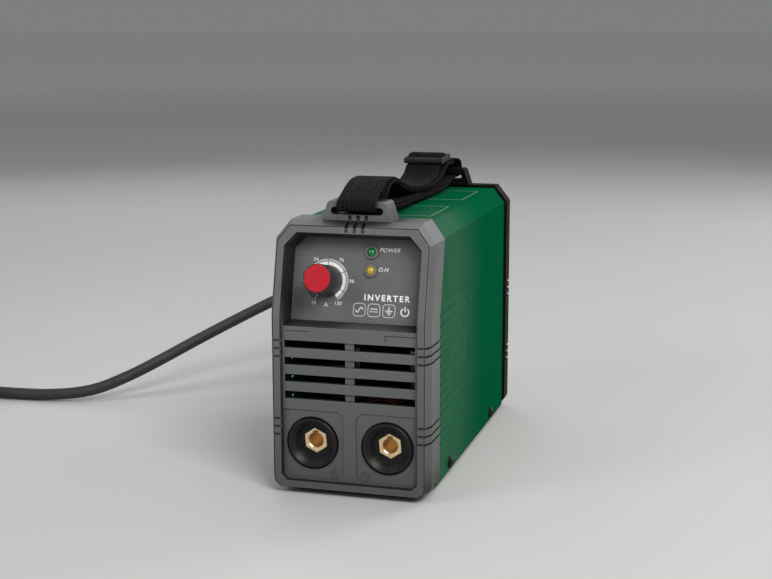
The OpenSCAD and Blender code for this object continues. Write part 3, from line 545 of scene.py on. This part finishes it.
# Each run as (y, z) in the case frame, in metres
TOP_LAYER = [
    (0.046, 0.1766), (0.038, 0.1769), (0.028, 0.1770), (0.0205, 0.1772), (0.0182, 0.1788), (0.0186, 0.1812),
    (0.0211, 0.1839), (0.0294, 0.1874), (0.0393, 0.1911), (0.050, 0.1937), (0.062, 0.1941), (0.071, 0.1931),
    (0.086, 0.1888), (0.1056, 0.1841), (0.1264, 0.1814), (0.148, 0.1804), (0.1666, 0.1816), (0.178, 0.1842),
    (0.183, 0.1869), (0.1882, 0.1900),
    in_buckle(-0.0075, -0.0031), in_buckle(-0.0036, 0.0030), in_buckle(0, 0.0032), in_buckle(0.0036, 0.0030),
    in_buckle(0.0075, -0.0031), in_buckle(0.011, -0.0032),
    (0.218, 0.1916), (0.227, 0.1912), (0.238, 0.1906), (0.247, 0.1896), (0.253, 0.1876), (0.2558, 0.1846),
    (0.256, 0.1812), (0.2536, 0.1782), (0.2495, 0.1771), (0.243, 0.1769), (0.236, 0.1769),
]
INNER_RUN = [
    (0.039, 0.1779), (0.042, 0.1786), (0.044, 0.1815), (0.046, 0.1852), (0.050, 0.1884), (0.055, 0.1905),
    (0.062, 0.1919), (0.071, 0.1909), (0.086, 0.1866), (0.1057, 0.1819), (0.1264, 0.1792), (0.148, 0.1781),
    (0.166, 0.1782), (0.181, 0.1796), (0.194, 0.1820), (0.205, 0.1862), (0.213, 0.1889), (0.222, 0.1890),
    (0.231, 0.1886),
]
LOWER_RUN = [
    (0.2361, 0.1772), (0.230, 0.1766), (0.222, 0.1752), (0.210, 0.1733), (0.186, 0.1723), (0.148, 0.1724),
    (0.1126, 0.1730), (0.0793, 0.1735), (0.060, 0.1748), (0.0459, 0.1765),
]
FOLD_RUN = [(0.049, 0.1787), (0.060, 0.1774), (0.0793, 0.1761), (0.1126, 0.1756), (0.136, 0.1750)]


def beside(points, gap):
    """A run the given distance to the left of another one, seen along it."""
    line = np.array(points)
    tangent = np.gradient(line, axis=0)
    tangent /= np.linalg.norm(tangent, axis=1)[:, None]
    return line + gap * np.column_stack([-tangent[:, 1], tangent[:, 0]])


def lifted(line, middle, reach, height):
    """The same run, bulging upwards round one place."""
    bulge = height * np.exp(-(((line[:, 0] - middle) / reach) ** 2))
    return line + np.column_stack([0 * line[:, 0], bulge])


RIBBON_STEP = 0.0009
ACROSS = 36  # faces across the webbing
SELVEDGE = 0.45  # thickness of the webbing's edge, as a share of the rest
SWAY = 0.0004  # how far a layer wanders sideways, and over what length
SWAY_REACH = 0.021
SWAY_PHASE = 900  # sets layers of different shift out of step


def even_line(points, step):
    """Points the same distance apart along a smooth line through the given ones."""
    dense = smooth_route(points, 40)
    along = np.concatenate([[0], np.cumsum(np.linalg.norm(np.diff(dense, axis=0), axis=1))])
    at = np.linspace(0, along[-1], int(along[-1] / step) + 1)
    return np.column_stack([np.interp(at, along, dense[:, k]) for k in range(2)]), at


def ribbon(name, points, shift):
    """One layer of webbing: a closed band with rounded selvedges and a slightly uneven run."""
    line, at = even_line(points, RIBBON_STEP)
    tangent = np.gradient(line, axis=0)
    tangent /= np.linalg.norm(tangent, axis=1)[:, None]
    normal = np.column_stack([-tangent[:, 1], tangent[:, 0]])
    half = WEB_T / 2
    section = []
    for side, order in ((1, range(ACROSS + 1)), (-1, range(ACROSS, -1, -1))):
        for k in order:
            u = -STRAP_W / 2 + STRAP_W * k / ACROSS
            edge = min(k, ACROSS - k) / 2
            thick = half * (SELVEDGE + (1 - SELVEDGE) * math.sin(min(edge, 1) * math.pi / 2))
            section.append((u, side * thick))
    n = len(section)
    points3, uvs = [], []
    for i, (y, z) in enumerate(line):
        sway = SWAY * math.sin(at[i] / SWAY_REACH + shift * SWAY_PHASE)
        for u, w in section:
            ny, nz = normal[i] * w
            points3.append(on_body(shift + sway + u, y + ny, z + nz))
            uvs.append((u + STRAP_W, at[i]))
    faces = []
    for i in range(len(line) - 1):
        for k in range(n):
            a, b = i * n + k, i * n + (k + 1) % n
            faces.append((a, b, b + n, a + n))
    end = (len(line) - 1) * n
    for k in range(n // 2 - 1):
        faces.append((k, n - 1 - k, n - 2 - k, k + 1))
        faces.append((end + k, end + k + 1, end + n - 2 - k, end + n - 1 - k))
    piece = mesh_object(name, points3, faces, smooth=True)
    layer = piece.data.uv_layers.new(name="weave")
    for loop in piece.data.loops:
        layer.data[loop.index].uv = uvs[loop.vertex_index]
    dress(piece, "webbing")
    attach(piece, "case")
    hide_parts("carry_strap")
    return piece


HALF_GAP = 0.00072  # from the middle of a pair of layers to each of them
middle_run = lifted(beside(INNER_RUN, HALF_GAP), middle=0.186, reach=0.016, height=0.0013)
LAYERS = (
    ("strap_top_layer", TOP_LAYER, 0.0),
    ("strap_middle_layer", middle_run, 0.0005),
    ("strap_bottom_layer", beside(INNER_RUN, -HALF_GAP), -0.0004),
    ("strap_upper_return", beside(LOWER_RUN, -HALF_GAP), 0.0003),
    ("strap_lower_return", beside(LOWER_RUN, HALF_GAP), -0.0003),
    ("strap_end_upper", beside(FOLD_RUN, HALF_GAP), 0.0006),
    ("strap_end_lower", beside(FOLD_RUN, -HALF_GAP), -0.0002),
)
for name, run, shift in LAYERS:
    ribbon(name, run, shift)


# ---------- print on the control panel ----------

PRINT_T = 0.00006
WHITE = Look("print_white", (0.86, 0.86, 0.85), 0.5)
WHITE.tint(WHITE.noise(1500, 3), 0.85, 1.05)
WHITE.rough(WHITE.noise(400, 2), 0.42, 0.6)
LOOKS["print_white"] = WHITE


def flat_shape(outline):
    """One printed shape on the panel, from its outline in x and distance up the face."""
    n = len(outline)
    points = [on_panel(x, s, POCKET_D - PRINT_T) for x, s in outline]
    points += [on_panel(x, s, POCKET_D) for x, s in outline]
    faces = [tuple(range(n))[::-1], tuple(range(n, 2 * n))]
    faces += [(k, (k + 1) % n, (k + 1) % n + n, k + n) for k in range(n)]
    return points, faces


def clock(centre, r, degrees):
    """A point round centre, degrees clockwise from straight up."""
    a = math.radians(degrees)
    return (centre[0] + r * math.sin(a), centre[1] + r * math.cos(a))


def arc_band(centre, r0, r1, start, end, step=3):
    """A band between two radii, from start to end in degrees, one quad to a step."""
    steps = max(2, int(abs(end - start) / step))
    angles = [start + (end - start) * k / steps for k in range(steps + 1)]
    shapes = []
    for a, b in zip(angles, angles[1:]):
        outer = [clock(centre, r1, a), clock(centre, r1, b)]
        inner = [clock(centre, r0, b), clock(centre, r0, a)]
        shapes.append(outer + inner)
    return shapes


def stroke(points, width):
    """A line of even width through points, one quad to a stretch."""
    shapes = []
    for (x0, s0), (x1, s1) in zip(points, points[1:]):
        along = math.hypot(x1 - x0, s1 - s0)
        nx, ns = -(s1 - s0) / along * width / 2, (x1 - x0) / along * width / 2
        shapes.append([(x0 + nx, s0 + ns), (x1 + nx, s1 + ns), (x1 - nx, s1 - ns), (x0 - nx, s0 - ns)])
    return shapes


def frame_outline(x, s, w, h, corner=0.0019):
    """A closed rounded frame, centred on x and s."""
    points = []
    for cx, cs, first in ((1, 1, 0), (1, -1, 90), (-1, -1, 180), (-1, 1, 270)):
        centre = (x + cx * (w / 2 - corner), s + cs * (h / 2 - corner))
        points += [clock(centre, corner, first + 22.5 * k) for k in range(5)]
    return points + points[:1]


def printed(name, shapes):
    points, faces = [], []
    for outline in shapes:
        p, f = flat_shape(outline)
        faces += [tuple(i + len(points) for i in face) for face in f]
        points += p
    piece = mesh_object(name, points, faces)
    dress(piece, "print_white")
    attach(piece, "case")
    return piece


CAP_HEIGHT = 0.69  # of a capital in the built-in typeface, as a share of its size


def lettering(name, words):
    """Generic words and numbers as thin raised print: (text, x, s, height, slant, weight, spacing)."""
    whole = bmesh.new()
    for text, x, s, height, slant, weight, spacing in words:
        curve = bpy.data.curves.new("text", "FONT")
        curve.body = text
        curve.size = height / CAP_HEIGHT
        curve.shear = slant
        curve.offset = weight
        curve.space_character = spacing
        curve.align_x = "CENTER"
        curve.resolution_u = 3
        writer = add_object("text", curve)
        bpy.context.view_layer.update()
        shape = bpy.data.meshes.new_from_object(writer.evaluated_get(bpy.context.evaluated_depsgraph_get()))
        for vertex in shape.vertices:
            vertex.co = on_panel(x + vertex.co.x, s + vertex.co.y - height / 2, POCKET_D - PRINT_T)
        whole.from_mesh(shape)
        bpy.data.objects.remove(writer)
        bpy.data.meshes.remove(shape)
    bmesh.ops.remove_doubles(whole, verts=whole.verts, dist=1e-6)
    mesh = bpy.data.meshes.new(name)
    whole.to_mesh(mesh)
    whole.free()
    piece = add_object(name, mesh)
    dress(piece, "print_white")
    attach(piece, "case")
    return piece


# The dial's scale: a band and two thin lines, in stretches with gaps at the marks
SCALE_STRETCHES = ((-149, -121), (-119, -61), (-59, -2), (0.5, 59), (61.5, 119), (121.5, 147))
SCALE_RADII = ((0.0101, 0.0123), (0.0129, 0.0132), (0.0136, 0.0139))
scale_shapes = []
for first, last in SCALE_STRETCHES:
    for inner, outer in SCALE_RADII:
        scale_shapes += arc_band(DIAL, inner, outer, first, last)
printed("dial_scale", scale_shapes)

# Plain electrical signs in a row: alternating current, direct current, earth, on and off
SIGN_S = 0.0072
AC_X, DC_X, EARTH_X, SWITCH_X = 0.0036, 0.0132, 0.0230, 0.0334
SIGN_FRAME = (0.0078, 0.0080)
FRAME_LINE = 0.00028
SIGN_LINE = 0.0005


def level_line(x, s, half):
    return stroke([(x - half, s), (x + half, s)], SIGN_LINE)


symbols = []
for x in (AC_X, DC_X, EARTH_X):
    symbols += stroke(frame_outline(x, SIGN_S, *SIGN_FRAME), FRAME_LINE)
wave = [(AC_X + 0.0024 * t, SIGN_S + 0.0017 * math.sin(math.pi * t)) for t in np.linspace(-1, 1, 17)]
symbols += stroke(wave, SIGN_LINE)
symbols += level_line(DC_X, SIGN_S + 0.0008, 0.0024)
for k in (-1, 0, 1):
    symbols += level_line(DC_X + 0.0018 * k, SIGN_S - 0.0009, 0.0006)
symbols += stroke([(EARTH_X, SIGN_S + 0.0027), (EARTH_X, SIGN_S)], SIGN_LINE)
for k, half in enumerate((0.0023, 0.0015, 0.0007)):
    symbols += level_line(EARTH_X, SIGN_S - 0.0011 * k, half)
symbols += arc_band((SWITCH_X, SIGN_S - 0.0002), 0.0021, 0.0029, 35, 325)
symbols += stroke([(SWITCH_X, SIGN_S + 0.0032), (SWITCH_X, SIGN_S)], 0.0008)
printed("electrical_signs", symbols)

NUMBER_H = 0.0023
LABEL_H = 0.0026
lettering(
    "panel_lettering",
    [
        ("10", -0.0270, 0.0101, NUMBER_H, 0, 0, 1),
        ("32", -0.0342, 0.0245, NUMBER_H, 0, 0, 1),
        ("54", -0.0271, 0.0379, NUMBER_H, 0, 0, 1),
        ("76", -0.0102, 0.0381, NUMBER_H, 0, 0, 1),
        ("98", -0.0027, 0.0248, NUMBER_H, 0, 0, 1),
        ("120", -0.0107, 0.0105, NUMBER_H, 0, 0, 1),
        ("A", -0.0186, 0.0093, LABEL_H, 0, 0, 1),
        ("POWER", 0.0212, 0.0454, LABEL_H, 0.25, 0, 1.05),
        ("O.H", 0.0175, 0.0330, LABEL_H, 0.25, 0, 1),
        ("INVERTER", 0.0211, 0.0152, 0.0036, 0, 0.00016, 1.36),
    ],
)


# ---------- lines on the cover ----------

PALE_GREEN = Look("line_pale_green", (0.22, 0.42, 0.30), 0.5)
PALE_GREEN.tint(PALE_GREEN.noise(900, 3), 0.8, 1.1)
LOOKS["line_pale_green"] = PALE_GREEN
COVER_TOP = BODY_H - 0.0021
OUTLINE_W = 0.0004
RECTANGLES = ((-0.034, 0.0355, 0.070, 0.121), (-0.034, 0.0355, 0.160, 0.214))
# The faces of a thin bar that can be seen: four corners below, then the same four above
BAR_FACES = ((4, 5, 6, 7), (0, 1, 5, 4), (1, 2, 6, 5), (2, 3, 7, 6), (3, 0, 4, 7))


def cover_outlines():
    """Two thin outlined fields on top of the cover, left blank."""
    points, faces = [], []
    for x0, x1, y0, y1 in RECTANGLES:
        bars = (
            (x0, x1, y0, y0 + OUTLINE_W),
            (x0, x1, y1 - OUTLINE_W, y1),
            (x0, x0 + OUTLINE_W, y0, y1),
            (x1 - OUTLINE_W, x1, y0, y1),
        )
        for a, b, c, d in bars:
            first = len(points)
            for z in (COVER_TOP, COVER_TOP + PRINT_T):
                points += [on_body(a, c, z), on_body(b, c, z), on_body(b, d, z), on_body(a, d, z)]
            faces += [tuple(first + i for i in face) for face in BAR_FACES]
    piece = mesh_object("cover_outlines", points, faces)
    dress(piece, "line_pale_green")
    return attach(piece, "case")


cover_outlines()


# ---------- floor and light ----------


def floor():
    """A plain pale floor, paler far off, where less of the lamps' light falls."""
    reach = 40.0
    corners = [(-reach, -reach, 0), (reach, -reach, 0), (reach, reach, 0), (-reach, reach, 0)]
    piece = mesh_object("floor", corners, [(0, 1, 2, 3)])
    look = Look("floor", (0.50, 0.50, 0.495), 0.7, Specular_IOR_Level=0.2)
    look.tint(look.noise(6, 3), 0.98, 1.02)
    far = look.node("VectorMath", {0: look.place()}, operation="LENGTH").outputs["Value"]
    look.tint(look.span(far, 0, 1, 1.0, 6.0), 1.0, 1.9)
    piece.data.materials.append(look.material)


def area_light(name, place, aim, size, power, colour=(1, 1, 1)):
    data = bpy.data.lights.new(name, "AREA")
    data.shape = "RECTANGLE"
    data.size, data.size_y = size
    data.energy = power
    data.color = colour
    lamp = add_object(name, data)
    lamp.location = place
    lamp.rotation_euler = (Vector(aim) - Vector(place)).to_track_quat("-Z", "Y").to_euler()


floor()
area_light("key", (0.95, -1.15, 1.35), (0, -0.05, 0.1), (0.9, 0.7), 30, (1.0, 0.98, 0.95))
area_light("left", (-1.0, -1.1, 0.9), (0, 0, 0.1), (0.6, 0.9), 7, (0.95, 0.98, 1.0))
area_light("top", (0.1, 0.3, 1.5), (0, 0, 0.15), (1.0, 1.0), 6)
area_light("back_left", (-0.9, 1.3, 1.0), (0, 0.1, 0.1), (0.9, 0.9), 4)
area_light("back_right", (1.0, 1.3, 0.9), (0, 0, 0.1), (0.8, 0.8), 11)

world = bpy.data.worlds.new("world")
world.use_nodes = True
backdrop = world.node_tree.nodes["Background"]
backdrop.inputs["Color"].default_value = (0.86, 0.88, 0.90, 1)
backdrop.inputs["Strength"].default_value = 0.24
bpy.context.scene.world = world
bpy.context.scene.view_settings.view_transform = "Standard"
